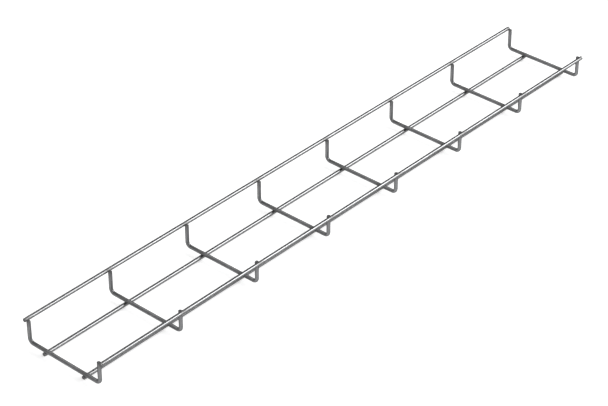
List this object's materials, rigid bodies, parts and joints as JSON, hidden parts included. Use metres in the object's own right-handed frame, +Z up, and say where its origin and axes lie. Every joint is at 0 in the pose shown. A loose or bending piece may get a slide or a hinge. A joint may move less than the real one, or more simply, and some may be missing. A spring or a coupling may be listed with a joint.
{
  "type": "wire mesh cable basket",
  "caption": "Shallow open wire mesh tray of formed cross wires welded to straight rim and floor wires, for carrying cables.",
  "frame": {"origin": "centre of the rectangle that the basket lies on, at mid length and mid width, on the floor", "axes": "+X along the basket, +Y to its left rim wire, +Z up out of its open top"},
  "size_m": [0.704, 0.1, 0.03],
  "materials": {
    "cross_wire": "zinc-plated steel wire, satin, dull grey",
    "long_wire": "zinc-plated steel wire, drawn bright, satin"
  },
  "bodies": {
    "root": {"cross_wire_1": "cross_wire", "cross_wire_2": "cross_wire", "cross_wire_3": "cross_wire", "cross_wire_4": "cross_wire", "cross_wire_5": "cross_wire", "cross_wire_6": "cross_wire", "cross_wire_7": "cross_wire", "cross_wire_8": "cross_wire", "rim_wire_left": "long_wire", "rim_wire_right": "long_wire", "floor_wire_left": "long_wire", "floor_wire_right": "long_wire"}
  },
  "joints": []
}
